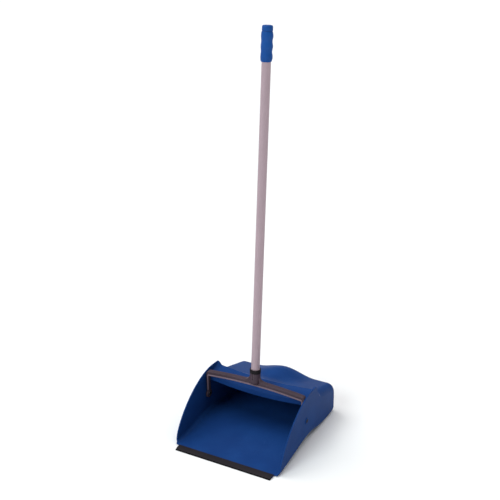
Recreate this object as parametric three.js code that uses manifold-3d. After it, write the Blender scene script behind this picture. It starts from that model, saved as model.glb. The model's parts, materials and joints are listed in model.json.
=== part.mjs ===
// A long-handled lobby dustpan: a one-piece moulded pan with a hood, a rubber-edged lip, and a forked
// yoke that carries the handle and swings on two pins in the side walls.
// Millimetres, +Z up, origin on the floor at the middle of the pan's plan box. The mouth faces -Y.

import * as THREE from "three";
import { mergeVertices } from "three/addons/utils/BufferGeometryUtils.js";
import Module from "manifold-3d";

const wasm = await Module();
wasm.setup();

// ---------------------------------------------------------------- driving dimensions
const CLEARANCE = 0.3; // between pieces that touch
const RUNNING_GAP = 0.35; // round the pivot pins, where the yoke turns
const SLIVER = 0.01; // facets that a cut leaves thinner than this are merged away

// The pan. Depths are measured back from the lip's front edge, heights up from the floor.
const PAN_WIDTH = 285; // across the rear
const PAN_DEPTH = 358;
const WALL = 3;
const MOUTH_FLARE = 6.6; // how much further out each side wall is at the lip than at the rear
const FRONT_FOOT = 28; // depth and height of the foot of each wall's curved front edge
const FRONT_FOOT_HEIGHT = 12;
const CREST_DEPTH = 211; // where that edge reaches the wall's nearly level top
const CREST_HEIGHT = 140;
const HORN_DEPTH = 233; // the ridge across the hood, and the horn at each of its ends
const HORN_TIP = 139;
const HORN_BACK = 11; // length of the steep back of the ridge and horns
const HORN_WIDTH = 11; // how far in from the wall the horn runs down to the ridge
const RIDGE_HEIGHT = 119.5; // the ridge at the middle of the hood
const RIDGE_RISE = 11; // more than that at its ends
const HOOD_HEIGHT = 114.5; // top of the hood behind the ridge
const REAR_HEIGHT = 81.5; // and at the rear, before the corner is rounded
const REAR_CORNER = 20; // rounding between the hood and the rear wall
const SHOULDER = 20; // rounding of the hood into the side walls
const SHOULDER_FADE = 18; // length over which that rounding ends, behind the horns
const REAR_EDGE = 10; // rounding of the rear wall into the side walls
const HUMP_RISE = 17;
const HUMP_HALF_WIDTH = 88;
const HUMP_START = 252; // depth at which the hump begins to rise
const HUMP_FULL = 336; // depth from which it has its full rise
const FLOOR_FRONT = 1.5; // underside of the floor at its front edge
const BELLY_RISE = 16.5; // height of the floor's arch
const BELLY_DEPTH = 188;
const HEEL_LENGTH = 34; // flat strip that the pan stands on, at the rear
const HEEL_CORNER = 8; // rounding between the heel and the rear wall
const FLOOR_EDGE = 12; // rounding of the floor into the side walls

// The flange that hangs from the front of the hood, and the gutter between it and the ridge
const FLANGE_DROP = 20.5; // from the ridge down to the flange's bottom edge
const GUTTER_DROP = 5; // from the ridge down to the gutter's front edge

// The lip: a stiff holder pushed on to the floor's front tongue, and a rubber blade in it
const LIP_MARGIN = 15.1; // from each side wall's outside, at the lip's front edge, to the lip's end
const LIP_DEPTH = 20;
const LIP_SHELL = 1; // wall of the holder
const TONGUE_START = 9; // front edge of the floor's tongue
const TONGUE_THICKNESS = 1.6;
const BLADE_LENGTH = 7;
const BLADE_THICKNESS = 1.6;
const BLADE_BITE = 4.5; // length of the blade inside its slot

// The yoke
const PIVOT_DEPTH = 175;
const PIVOT_HEIGHT = 71;
const YOKE_SIDE_GAP = 1.5; // between each leg and the pan's wall
const LEG_THICKNESS = 5.5;
const YOKE_DEPTH = 13; // front to back
const BAR_HEIGHT = 11;
const BAR_BOTTOM = 129; // underside of the crossbar at its ends
const BAR_ARCH = 7; // more than that at its middle
const YOKE_CORNER = 10;
const EYE_DIAMETER = 22;
const SOCKET_HEIGHT = 33; // above the crossbar's top
const SOCKET_WALL = 2.4;
const SOCKET_FLARE_HEIGHT = 12; // the socket widens over this height into the crossbar
const SOCKET_FLARE = 2.5;
const SOCKET_SLIT = 2.2;
const SLIT_FOOT = 8; // foot of the slit, above the crossbar's top
const COLLAR_HEIGHT = 10;
const COLLAR_WALL = 1.4;
const NECK_WALL = 1.2; // the socket's wall inside the collar
const GUSSET_LENGTH = 22;
const GUSSET_HEIGHT = 14;
const GUSSET_THICKNESS = 7;

// The pivot pins
const PIN_DIAMETER = 7;
const PIN_HEAD = 10;
const PIN_HEAD_THICKNESS = 2;
const BOSS_DIAMETER = 18;
const BOSS_HEIGHT = 1.8;
const CLIP_DIAMETER = 13;
const CLIP_THICKNESS = 1.4;
const PIN_TAIL = 1.2; // what stands out past the clip

// The handle
const TUBE_DIAMETER = 22;
const TUBE_WALL = 1.2;
const TUBE_LENGTH = 870;
const RAKE = 4.8; // degrees that the handle leans back from the yoke's legs
const GRIP_LENGTH = 69;
const GRIP_WALL = 1.7; // at the waves' hollows
const GRIP_WAVE = 0.8;
const GRIP_WAVES = 3;
const CAP_HEIGHT = 12.5;
const CAP_PLUG = 18;
const CAP_ROUND = 3;
const SCREW_DIAMETER = 4;
const SCREW_HEAD = 8;
const SCREW_HEAD_THICKNESS = 2.4;
const SCREW_LENGTH = 11;
const PLUG_LENGTH = 45; // the plug inside the tube's lower end, which the screw bites into

// ---------------------------------------------------------------- places that follow from them
const HALF_WIDTH = PAN_WIDTH / 2;
const INNER_HALF = HALF_WIDTH - WALL;
const FRONT = -PAN_DEPTH / 2; // Y of the lip's front edge
const OUTSIDE = 30; // how far a cut runs past the pan
const FLOOR_START = LIP_DEPTH + CLEARANCE;
const HEEL_START = PAN_DEPTH - HEEL_LENGTH;
const HOOD_FOOT = HORN_DEPTH + HORN_BACK; // depth at which the hood's long slope starts
const HOOD_SLOPE = (HOOD_HEIGHT - REAR_HEIGHT) / (PAN_DEPTH - HOOD_FOOT);
const flareAt = (depth) => 1 + (MOUTH_FLARE / HALF_WIDTH) * (1 - depth / PAN_DEPTH);
const LIP_WIDTH = 2 * (HALF_WIDTH * flareAt(0) - LIP_MARGIN);
const WALL_OUTSIDE_AT_PIVOT = HALF_WIDTH * flareAt(PIVOT_DEPTH);
const WALL_INSIDE_AT_PIVOT = INNER_HALF * flareAt(PIVOT_DEPTH);
const LEG_OUTSIDE = WALL_INSIDE_AT_PIVOT - YOKE_SIDE_GAP;
const LEG_INSIDE = LEG_OUTSIDE - LEG_THICKNESS;
const BAR_BACK = PIVOT_DEPTH + YOKE_DEPTH / 2;
const FLANGE_FRONT = BAR_BACK + 2 * CLEARANCE; // the crossbar rests against the flange
const PIN_HOLE = PIN_DIAMETER + 2 * RUNNING_GAP;
const BAR_TOP_MIDDLE = BAR_BOTTOM + BAR_ARCH + BAR_HEIGHT;
const TONGUE_BOTTOM = FLOOR_FRONT + (WALL - TONGUE_THICKNESS) / 2;
const TONGUE_TOP = TONGUE_BOTTOM + TONGUE_THICKNESS;
const SOCKET_BORE = TUBE_DIAMETER + 2 * CLEARANCE;
const SOCKET_DIAMETER = SOCKET_BORE + 2 * SOCKET_WALL;
const NECK_RADIUS = SOCKET_BORE / 2 + NECK_WALL;
const COLLAR_FOOT = SOCKET_HEIGHT - COLLAR_HEIGHT;

// ---------------------------------------------------------------- helpers
function solidOf(geometry) {
  const bare = new THREE.BufferGeometry();
  bare.setAttribute("position", geometry.getAttribute("position"));
  if (geometry.index) bare.setIndex(geometry.index);
  const merged = mergeVertices(bare, 1e-4);
  return new wasm.Manifold(
    new wasm.Mesh({
      numProp: 3,
      vertProperties: merged.attributes.position.array,
      triVerts: new Uint32Array(merged.index.array),
    }),
  );
}

function geometryOf(solid) {
  const mesh = solid.simplify(SLIVER).getMesh();
  const geometry = new THREE.BufferGeometry();
  geometry.setAttribute("position", new THREE.BufferAttribute(mesh.vertProperties, 3));
  geometry.setIndex(new THREE.BufferAttribute(mesh.triVerts, 1));
  const flat = geometry.toNonIndexed();
  flat.computeVertexNormals();
  return flat;
}

const smooth = (t) => {
  const s = Math.min(1, Math.max(0, t));
  return s * s * (3 - 2 * s);
};

const v2 = (u, z) => new THREE.Vector2(u, z);

const line = (a, b) => new THREE.LineCurve(a, b);
const arc = (u, z, radius, from, to) =>
  new THREE.EllipseCurve(u, z, radius, radius, from, to, to < from);

// How far a rounding has turned a surface in, at a distance in from the body's side.
function roundOff(radius, distance) {
  const short = Math.max(0, radius - distance);
  return radius - Math.sqrt(radius * radius - short * short);
}

// A closed outline from runs of [curve, steps], each ending where the next one starts.
function outlineOf(runs) {
  const points = [];
  for (const [curve, steps] of runs)
    for (let i = 0; i < steps; i++) points.push(curve.getPoint(i / steps));
  return points;
}

// A closed solid through outlines at rising X; runsAt(x) gives the outline's runs there.
function loft(runsAt, stations) {
  const rings = stations.map((x) => outlineOf(runsAt(x)));
  const count = rings[0].length;
  const positions = [];
  rings.forEach((ring, i) => {
    for (const p of ring) positions.push(stations[i] * flareAt(p.x), FRONT + p.x, p.y);
  });
  const index = [];
  for (let i = 0; i + 1 < rings.length; i++)
    for (let j = 0; j < count; j++) {
      const a = i * count + j;
      const b = i * count + ((j + 1) % count);
      index.push(a, b, b + count, a, b + count, a + count);
    }
  const last = (rings.length - 1) * count;
  for (const [a, b, c] of THREE.ShapeUtils.triangulateShape(rings[0], [])) index.push(c, b, a);
  for (const [a, b, c] of THREE.ShapeUtils.triangulateShape(rings.at(-1), []))
    index.push(last + a, last + b, last + c);
  const geometry = new THREE.BufferGeometry();
  geometry.setAttribute("position", new THREE.Float32BufferAttribute(positions, 3));
  geometry.setIndex(index);
  return solidOf(geometry);
}

// A closed outline in (depth, height), run along X between two stations.
function extrudeAlongX(shape, from, to) {
  const geometry = new THREE.ExtrudeGeometry(shape, {
    depth: to - from,
    bevelEnabled: false,
    curveSegments: 10,
  });
  geometry.applyMatrix4(new THREE.Matrix4().set(0, 0, 1, from, 1, 0, 0, FRONT, 0, 1, 0, 0, 0, 0, 0, 1));
  return solidOf(geometry);
}

// A closed outline in (x, height), run back from one depth to another.
function extrudeBack(shape, from, to) {
  const geometry = new THREE.ExtrudeGeometry(shape, {
    depth: to - from,
    bevelEnabled: false,
    curveSegments: 12,
  });
  geometry.applyMatrix4(new THREE.Matrix4().set(1, 0, 0, 0, 0, 0, -1, FRONT + to, 0, 1, 0, 0, 0, 0, 0, 1));
  return solidOf(geometry);
}

// A round solid along X: from and to are X, at the pivot's depth and height.
function roundOnPivot(diameter, from, to, segments = 24) {
  const geometry = new THREE.CylinderGeometry(diameter / 2, diameter / 2, to - from, segments);
  geometry.rotateZ(-Math.PI / 2);
  geometry.translate((from + to) / 2, FRONT + PIVOT_DEPTH, PIVOT_HEIGHT);
  return solidOf(geometry);
}

const mirrored = (solid) => solid.mirror([1, 0, 0]);

// ---------------------------------------------------------------- the pan's surfaces
// How far the horn has risen out of the ridge at x, from 0 to 1.
const hornShare = (x) => smooth((Math.abs(x) - (INNER_HALF - HORN_WIDTH)) / HORN_WIDTH);
const ridgeAt = (x) => RIDGE_HEIGHT + RIDGE_RISE * Math.min(1, Math.abs(x) / INNER_HALF) ** 2;
const tipAt = (x) => ridgeAt(x) + (HORN_TIP - ridgeAt(x)) * hornShare(x);
const humpAt = (x) =>
  Math.abs(x) < HUMP_HALF_WIDTH ? HUMP_RISE * Math.cos((Math.PI * x) / (2 * HUMP_HALF_WIDTH)) ** 2 : 0;

// The runs of the pan's surface at x, a given depth in from its outside: along the floor to the rear,
// up the rear wall and forward over the hood to the foot of the ridge's back.
function surfaceRuns(x, inset) {
  const side = HALF_WIDTH - inset - Math.abs(x);
  const lift = roundOff(FLOOR_EDGE - inset, side) + inset;
  const back = PAN_DEPTH - inset - roundOff(REAR_EDGE - inset, side);
  const start = v2(-OUTSIDE / 2, FLOOR_FRONT + lift);
  const front = v2(FRONT_FOOT, FLOOR_FRONT + lift);
  const crown = v2(BELLY_DEPTH, BELLY_RISE + lift);
  const heel = v2(HEEL_START, lift);
  const reach = (BELLY_DEPTH - FRONT_FOOT) / 2;
  const slope = Math.atan(HOOD_SLOPE);
  const drop = inset / Math.cos(slope);
  const hoodZ = (depth) =>
    REAR_HEIGHT +
    HOOD_SLOPE * (PAN_DEPTH - depth) +
    humpAt(x) * smooth((depth - HUMP_START) / (HUMP_FULL - HUMP_START)) -
    roundOff(SHOULDER - inset, side) * smooth((depth - HOOD_FOOT) / SHOULDER_FADE) -
    drop;
  const radius = REAR_CORNER - inset;
  const cornerHeight = hoodZ(back) + radius * (Math.tan(slope) - 1 / Math.cos(slope));
  const corner = arc(back - radius, cornerHeight, radius, 0, Math.PI / 2 - slope);
  const cornerEnd = corner.getPoint(1);
  const hoodSteps = 8;
  const hood = [];
  for (let i = 0; i <= hoodSteps; i++) {
    const depth = cornerEnd.x + ((HOOD_FOOT - cornerEnd.x) * i) / hoodSteps;
    hood.push(v2(depth, i === 0 ? cornerEnd.y : hoodZ(depth)));
  }
  return [
    [line(start, front), 1],
    [new THREE.CubicBezierCurve(front, v2(front.x + reach, front.y + 3), v2(crown.x - reach * 0.6, crown.y), crown), 8],
    [new THREE.CubicBezierCurve(crown, v2(crown.x + reach * 0.6, crown.y), v2(heel.x - reach, heel.y), heel), 8],
    [line(heel, v2(back - HEEL_CORNER, lift)), 1],
    [arc(back - HEEL_CORNER, lift + HEEL_CORNER, HEEL_CORNER, -Math.PI / 2, 0), 4],
    [line(v2(back, lift + HEEL_CORNER), v2(back, cornerHeight)), 1],
    [corner, 5],
    ...hood.slice(1).map((p, i) => [line(hood[i], p), 1]),
  ];
}

const lastPoint = (runs) => runs.at(-1)[0].getPoint(1);
const firstPoint = (runs) => runs[0][0].getPoint(0);

// The outside of the pan at x, with its mouth filled up to a block in front of the ridge.
function outsideAt(x) {
  const runs = surfaceRuns(x, 0);
  const foot = lastPoint(runs);
  const start = firstPoint(runs);
  const tip = v2(HORN_DEPTH, tipAt(x));
  const above = CREST_HEIGHT + OUTSIDE;
  return [
    ...runs,
    [line(foot, tip), 1],
    [line(tip, v2(HORN_DEPTH - 1, above)), 1],
    [line(v2(HORN_DEPTH - 1, above), v2(start.x, above)), 1],
    [line(v2(start.x, above), start), 1],
  ];
}

// What is cut out of it between the walls: the mouth, the space under the hood, and the space above
// the gutter in front of the ridge.
function cutAt(x) {
  const runs = surfaceRuns(x, WALL);
  const start = firstPoint(runs);
  const foot = lastPoint(runs);
  const tip = v2(HORN_DEPTH, tipAt(x));
  const gutterTop = ridgeAt(x) - GUTTER_DROP;
  const flangeBottom = ridgeAt(x) - FLANGE_DROP;
  const flangeBack = FLANGE_FRONT + WALL;
  const underRidge = v2(HORN_DEPTH, ridgeAt(x) - 2 * WALL);
  const underGutter = v2(flangeBack, gutterTop - 2 * WALL);
  const sag = v2((flangeBack + HORN_DEPTH) / 2 + WALL, gutterTop - WALL);
  const above = CREST_HEIGHT + 2 * OUTSIDE;
  return [
    ...runs,
    [line(foot, underRidge), 1],
    [new THREE.QuadraticBezierCurve(underRidge, v2(sag.x, sag.y - WALL), underGutter), 4],
    [line(underGutter, v2(flangeBack, flangeBottom)), 1],
    [line(v2(flangeBack, flangeBottom), v2(FLANGE_FRONT, flangeBottom)), 1],
    [line(v2(FLANGE_FRONT, flangeBottom), v2(FLANGE_FRONT, gutterTop - WALL)), 1],
    [line(v2(FLANGE_FRONT, gutterTop - WALL), v2(flangeBack, gutterTop)), 1],
    [new THREE.QuadraticBezierCurve(v2(flangeBack, gutterTop), sag, tip), 6],
    [line(tip, v2(HORN_DEPTH, above)), 1],
    [line(v2(HORN_DEPTH, above), v2(start.x - 1, above)), 1],
    [line(v2(start.x - 1, above), start), 1],
  ];
}

// The pan seen from its side: the floor's front edge, the walls' curved front edges, and their tops.
function sideView() {
  const shape = new THREE.Shape();
  const beyond = PAN_DEPTH + OUTSIDE;
  const topFall = (CREST_HEIGHT - HORN_TIP) / (HORN_DEPTH - CREST_DEPTH);
  shape.moveTo(FLOOR_START, -OUTSIDE);
  shape.lineTo(beyond, -OUTSIDE);
  shape.lineTo(beyond, CREST_HEIGHT - topFall * (beyond - CREST_DEPTH));
  shape.lineTo(CREST_DEPTH, CREST_HEIGHT);
  shape.bezierCurveTo(
    CREST_DEPTH - 91,
    CREST_HEIGHT + 7,
    FRONT_FOOT + 3,
    FRONT_FOOT_HEIGHT + 40,
    FRONT_FOOT,
    FRONT_FOOT_HEIGHT,
  );
  shape.quadraticCurveTo(FRONT_FOOT - 1, FLOOR_FRONT + WALL, FLOOR_START, FLOOR_FRONT + WALL);
  return shape;
}

// Stations along X: close together in the side roundings and the horns, wider between them.
const MIDDLE_STATIONS = [0.14, 0.28, 0.42, 0.56, 0.7].map((share) => share * HALF_WIDTH);
const EDGE_STATIONS = [25, 19, 13.5, 9, 5.5, 3, 1.2, 0.3, 0];

function stationsTo(half) {
  const right = [...MIDDLE_STATIONS, ...EDGE_STATIONS.map((distance) => half - distance)];
  return [...right.map((x) => -x).reverse(), 0, ...right];
}

function panShell() {
  const body = loft(outsideAt, stationsTo(HALF_WIDTH));
  const cut = loft(cutAt, stationsTo(INNER_HALF));
  const outline = extrudeAlongX(sideView(), -PAN_WIDTH, PAN_WIDTH);
  const tongue = extrudeAlongX(
    new THREE.Shape([
      v2(TONGUE_START, TONGUE_BOTTOM),
      v2(FRONT_FOOT, TONGUE_BOTTOM),
      v2(FRONT_FOOT, TONGUE_TOP),
      v2(TONGUE_START, TONGUE_TOP),
    ]),
    -LIP_WIDTH / 2,
    LIP_WIDTH / 2,
  );
  let shell = body.intersect(outline).subtract(cut).add(tongue);
  for (const side of [1, -1]) {
    const place = (solid) => (side > 0 ? solid : mirrored(solid));
    const seat = roundOnPivot(BOSS_DIAMETER, WALL_INSIDE_AT_PIVOT + WALL / 2, WALL_OUTSIDE_AT_PIVOT + BOSS_HEIGHT);
    const recess = roundOnPivot(PIN_HEAD + 2 * RUNNING_GAP, WALL_OUTSIDE_AT_PIVOT, WALL_OUTSIDE_AT_PIVOT + OUTSIDE);
    const hole = roundOnPivot(PIN_HOLE, WALL_INSIDE_AT_PIVOT - OUTSIDE / 3, WALL_OUTSIDE_AT_PIVOT + OUTSIDE);
    shell = shell.add(place(seat)).subtract(place(recess)).subtract(place(hole));
  }
  return shell;
}

// ---------------------------------------------------------------- the lip
const HOLDER_BOTTOM = TONGUE_BOTTOM - CLEARANCE - LIP_SHELL;
const HOLDER_TOP = TONGUE_TOP + CLEARANCE + LIP_SHELL;

function lipHolder() {
  const outline = new THREE.Shape([
    v2(BLADE_LENGTH - BLADE_BITE, HOLDER_BOTTOM),
    v2(LIP_DEPTH, HOLDER_BOTTOM),
    v2(LIP_DEPTH, TONGUE_BOTTOM - CLEARANCE),
    v2(TONGUE_START - CLEARANCE, TONGUE_BOTTOM - CLEARANCE),
    v2(TONGUE_START - CLEARANCE, TONGUE_TOP + CLEARANCE),
    v2(LIP_DEPTH, TONGUE_TOP + CLEARANCE),
    v2(LIP_DEPTH, HOLDER_TOP),
    v2(TONGUE_START, HOLDER_TOP),
    v2(BLADE_LENGTH - BLADE_BITE, BLADE_THICKNESS + CLEARANCE + LIP_SHELL),
  ]);
  const slot = new THREE.Shape([
    v2(-OUTSIDE, -OUTSIDE),
    v2(BLADE_LENGTH - 1, -OUTSIDE),
    v2(BLADE_LENGTH - 1 + CLEARANCE, BLADE_THICKNESS + CLEARANCE),
    v2(-OUTSIDE, BLADE_THICKNESS + CLEARANCE),
  ]);
  const half = LIP_WIDTH / 2;
  return extrudeAlongX(outline, -half, half).subtract(extrudeAlongX(slot, -half - 1, half + 1));
}

function rubberBlade() {
  const outline = new THREE.Shape([
    v2(0, 0),
    v2(BLADE_LENGTH - 1, 0),
    v2(BLADE_LENGTH - 1, BLADE_THICKNESS),
    v2(1, BLADE_THICKNESS),
    v2(0, BLADE_THICKNESS / 2),
  ]);
  return extrudeAlongX(outline, -LIP_WIDTH / 2, LIP_WIDTH / 2);
}

// ---------------------------------------------------------------- the yoke and what is on it
// Points along the handle's own line, which leans back from the crossbar's top.
const handleFrame = new THREE.Matrix4()
  .makeTranslation(0, FRONT + PIVOT_DEPTH, BAR_TOP_MIDDLE)
  .multiply(new THREE.Matrix4().makeRotationX(-THREE.MathUtils.degToRad(RAKE)));

// A round solid on the handle's line from a [radius, height] profile that closes on itself.
function turned(profile, segments = 32) {
  const points = profile.map(([radius, height]) => v2(radius, height));
  const geometry = new THREE.LatheGeometry(points, segments);
  geometry.rotateX(Math.PI / 2);
  geometry.applyMatrix4(handleFrame);
  return solidOf(geometry);
}

const rod = (radius, from, to, segments = 32) =>
  turned([[0, from], [radius, from], [radius, to], [0, to]], segments);

function onHandle(geometry) {
  geometry.applyMatrix4(handleFrame);
  return solidOf(geometry);
}

// The inverted U of the crossbar and legs, as a shape in (x, height).
function forkShape() {
  const shape = new THREE.Shape();
  const top = BAR_BOTTOM + BAR_HEIGHT;
  const legFoot = PIVOT_HEIGHT;
  shape.moveTo(-LEG_OUTSIDE, legFoot);
  shape.lineTo(-LEG_INSIDE, legFoot);
  shape.lineTo(-LEG_INSIDE, BAR_BOTTOM - YOKE_CORNER / 2);
  shape.quadraticCurveTo(-LEG_INSIDE, BAR_BOTTOM, -LEG_INSIDE + YOKE_CORNER / 2, BAR_BOTTOM);
  shape.quadraticCurveTo(0, BAR_BOTTOM + 2 * BAR_ARCH, LEG_INSIDE - YOKE_CORNER / 2, BAR_BOTTOM);
  shape.quadraticCurveTo(LEG_INSIDE, BAR_BOTTOM, LEG_INSIDE, BAR_BOTTOM - YOKE_CORNER / 2);
  shape.lineTo(LEG_INSIDE, legFoot);
  shape.lineTo(LEG_OUTSIDE, legFoot);
  shape.lineTo(LEG_OUTSIDE, top - YOKE_CORNER);
  shape.quadraticCurveTo(LEG_OUTSIDE, top, LEG_OUTSIDE - YOKE_CORNER, top);
  shape.quadraticCurveTo(0, top + 2 * BAR_ARCH, -LEG_OUTSIDE + YOKE_CORNER, top);
  shape.quadraticCurveTo(-LEG_OUTSIDE, top, -LEG_OUTSIDE, top - YOKE_CORNER);
  return shape;
}

function yoke() {
  const fork = extrudeBack(forkShape(), PIVOT_DEPTH - YOKE_DEPTH / 2, BAR_BACK);
  const radius = SOCKET_DIAMETER / 2;
  const socket = turned([
    [0, 2 - BAR_HEIGHT],
    [radius + SOCKET_FLARE, 2 - BAR_HEIGHT],
    [radius + SOCKET_FLARE, 0],
    [radius + SOCKET_FLARE * 0.35, SOCKET_FLARE_HEIGHT * 0.4],
    [radius, SOCKET_FLARE_HEIGHT],
    [radius, COLLAR_FOOT - CLEARANCE],
    [NECK_RADIUS, COLLAR_FOOT - CLEARANCE],
    [NECK_RADIUS, SOCKET_HEIGHT],
    [0, SOCKET_HEIGHT],
  ]);
  const gusset = new THREE.Shape();
  gusset.moveTo(-radius - GUSSET_LENGTH, BAR_TOP_MIDDLE - BAR_HEIGHT / 2);
  gusset.lineTo(radius + GUSSET_LENGTH, BAR_TOP_MIDDLE - BAR_HEIGHT / 2);
  gusset.lineTo(radius + GUSSET_LENGTH, BAR_TOP_MIDDLE - 2);
  gusset.quadraticCurveTo(radius + 2, BAR_TOP_MIDDLE, radius - 1, BAR_TOP_MIDDLE + GUSSET_HEIGHT);
  gusset.lineTo(1 - radius, BAR_TOP_MIDDLE + GUSSET_HEIGHT);
  gusset.quadraticCurveTo(-radius - 2, BAR_TOP_MIDDLE, -radius - GUSSET_LENGTH, BAR_TOP_MIDDLE - 2);
  const web = extrudeBack(gusset, PIVOT_DEPTH - GUSSET_THICKNESS / 2, PIVOT_DEPTH + GUSSET_THICKNESS / 2);
  const slit = onHandle(
    new THREE.BoxGeometry(SOCKET_SLIT, SOCKET_DIAMETER, SOCKET_HEIGHT).translate(
      0,
      -SOCKET_DIAMETER / 2,
      SLIT_FOOT + SOCKET_HEIGHT / 2,
    ),
  );
  let solid = fork.add(web).add(socket);
  solid = solid.subtract(rod(SOCKET_BORE / 2, 0, SOCKET_HEIGHT + 1)).subtract(slit);
  solid = solid.subtract(screwHole());
  for (const side of [1, -1]) {
    const place = (piece) => (side > 0 ? piece : mirrored(piece));
    const eye = roundOnPivot(EYE_DIAMETER, LEG_INSIDE, LEG_OUTSIDE);
    const hole = roundOnPivot(PIN_DIAMETER + 2 * CLEARANCE, LEG_INSIDE - 1, LEG_OUTSIDE + 1);
    solid = solid.add(place(eye)).subtract(place(hole));
  }
  return solid;
}

function socketCollar() {
  const inner = NECK_RADIUS + CLEARANCE;
  const outer = inner + COLLAR_WALL;
  return turned([
    [inner, COLLAR_FOOT],
    [outer, COLLAR_FOOT],
    [outer, SOCKET_HEIGHT - 1],
    [outer - 0.8, SOCKET_HEIGHT],
    [inner, SOCKET_HEIGHT],
    [inner, COLLAR_FOOT],
  ]);
}

// The tube's fixing screw goes in square to the handle through the rear of the socket.
const SCREW_AT = (COLLAR_FOOT + SOCKET_FLARE_HEIGHT) / 2;

function alongScrew(radius, from, to) {
  const geometry = new THREE.CylinderGeometry(radius, radius, to - from, 16);
  geometry.translate(0, (from + to) / 2, SCREW_AT);
  return onHandle(geometry);
}

const screwHole = () => alongScrew(SCREW_DIAMETER / 2 + CLEARANCE, 0, SOCKET_DIAMETER);

function tubeScrew() {
  const seat = SOCKET_DIAMETER / 2 + CLEARANCE;
  const shank = alongScrew(SCREW_DIAMETER / 2, seat - SCREW_LENGTH, seat + 1);
  return shank.add(alongScrew(SCREW_HEAD / 2, seat, seat + SCREW_HEAD_THICKNESS));
}

function pivotPin(side) {
  const head = roundOnPivot(
    PIN_HEAD,
    WALL_OUTSIDE_AT_PIVOT + CLEARANCE,
    WALL_OUTSIDE_AT_PIVOT + CLEARANCE + PIN_HEAD_THICKNESS,
  );
  const tail = LEG_INSIDE - CLEARANCE - CLIP_THICKNESS - PIN_TAIL;
  const shank = roundOnPivot(PIN_DIAMETER, tail, WALL_OUTSIDE_AT_PIVOT + CLEARANCE + 1);
  const pin = head.add(shank);
  return side > 0 ? pin : mirrored(pin);
}

function pivotClip(side) {
  const outer = LEG_INSIDE - CLEARANCE;
  const disc = roundOnPivot(CLIP_DIAMETER, outer - CLIP_THICKNESS, outer);
  const hole = roundOnPivot(PIN_DIAMETER + 2 * CLEARANCE, outer - CLIP_THICKNESS - 1, outer + 1);
  const clip = disc.subtract(hole);
  return side > 0 ? clip : mirrored(clip);
}

// ---------------------------------------------------------------- the handle
const TUBE_START = CLEARANCE; // above the socket's floor
const TUBE_END = TUBE_START + TUBE_LENGTH;
const GRIP_BORE = TUBE_DIAMETER / 2 + CLEARANCE;

function handleTube() {
  const outer = TUBE_DIAMETER / 2;
  const inner = outer - TUBE_WALL;
  const tube = turned([
    [inner, TUBE_START],
    [outer, TUBE_START],
    [outer, TUBE_END],
    [inner, TUBE_END],
    [inner, TUBE_START],
  ]);
  return tube.subtract(screwHole());
}

function tubePlug() {
  const radius = TUBE_DIAMETER / 2 - TUBE_WALL - CLEARANCE;
  const plug = turned([
    [0, TUBE_START],
    [radius, TUBE_START],
    [radius, TUBE_START + PLUG_LENGTH - 1],
    [radius - 1, TUBE_START + PLUG_LENGTH],
    [0, TUBE_START + PLUG_LENGTH],
  ]);
  return plug.subtract(screwHole());
}

// The grip's outside at a share of its length from its foot: a row of finger waves.
function gripRadius(share) {
  const wave = (1 - Math.cos(2 * Math.PI * GRIP_WAVES * share)) / 2;
  return GRIP_BORE + GRIP_WALL + GRIP_WAVE * wave;
}

function gripSleeve() {
  const start = TUBE_END - GRIP_LENGTH;
  const steps = GRIP_WAVES * 6;
  const profile = [[GRIP_BORE, start]];
  profile.push([gripRadius(0) - 1, start]);
  for (let i = 0; i <= steps; i++) {
    const share = i / steps;
    const height = start + 1 + (GRIP_LENGTH - 1) * share;
    profile.push([gripRadius(share), height]);
  }
  profile.push([GRIP_BORE, TUBE_END]);
  profile.push([GRIP_BORE, start]);
  return turned(profile, 28);
}

function gripEndCap() {
  const radius = gripRadius(0) - 0.6;
  const plug = TUBE_DIAMETER / 2 - TUBE_WALL - CLEARANCE;
  const foot = TUBE_END + CLEARANCE;
  return turned(
    [
      [0, TUBE_END - CAP_PLUG],
      [plug, TUBE_END - CAP_PLUG],
      [plug, foot],
      [radius, foot],
      [radius, foot + CAP_HEIGHT - CAP_ROUND],
      [radius - CAP_ROUND * 0.3, foot + CAP_HEIGHT - CAP_ROUND * 0.3],
      [radius - CAP_ROUND, foot + CAP_HEIGHT],
      [0, foot + CAP_HEIGHT],
    ],
    28,
  );
}

// ---------------------------------------------------------------- the assembly
const finish = (color, roughness, metalness = 0) =>
  new THREE.MeshStandardMaterial({ color, roughness, metalness });
const BLUE_PLASTIC = finish(0x1d4fa0, 0.38);
const GRIP_PLASTIC = finish(0x1b58b0, 0.5);
const GREY_PLASTIC = finish(0x3c383c, 0.5);
const LIP_PLASTIC = finish(0x444043, 0.55);
const BLACK_RUBBER = finish(0x151416, 0.8);
const ALUMINIUM = finish(0xb9aeb4, 0.35, 0.9);
const ZINC_STEEL = finish(0x8f9094, 0.35, 1);

const dustpan = new THREE.Group();
const add = (name, solid, material) => {
  const mesh = new THREE.Mesh(geometryOf(solid), material);
  mesh.name = name;
  dustpan.add(mesh);
};

add("pan_shell", panShell(), BLUE_PLASTIC);
add("lip_holder", lipHolder(), LIP_PLASTIC);
add("rubber_blade", rubberBlade(), BLACK_RUBBER);
add("yoke", yoke(), GREY_PLASTIC);
add("socket_collar", socketCollar(), GREY_PLASTIC);
add("tube_screw", tubeScrew(), ZINC_STEEL);
for (const [name, side] of [["left", -1], ["right", 1]]) {
  add(`pivot_pin_${name}`, pivotPin(side), GREY_PLASTIC);
  add(`pivot_clip_${name}`, pivotClip(side), ZINC_STEEL);
}
add("handle_tube", handleTube(), ALUMINIUM);
add("tube_plug", tubePlug(), GREY_PLASTIC);
add("grip_sleeve", gripSleeve(), GRIP_PLASTIC);
add("grip_end_cap", gripEndCap(), GRIP_PLASTIC);

export default dustpan;
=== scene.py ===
# %% [markdown]
# # A long-handled dustpan
# A lobby dustpan is a hooded plastic pan on a tall handle. The handle sits in a forked yoke, and the yoke
# swings on two pins in the pan's side walls. This file dresses a finished design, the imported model. Each cell
# makes one piece or one finish.

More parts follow.
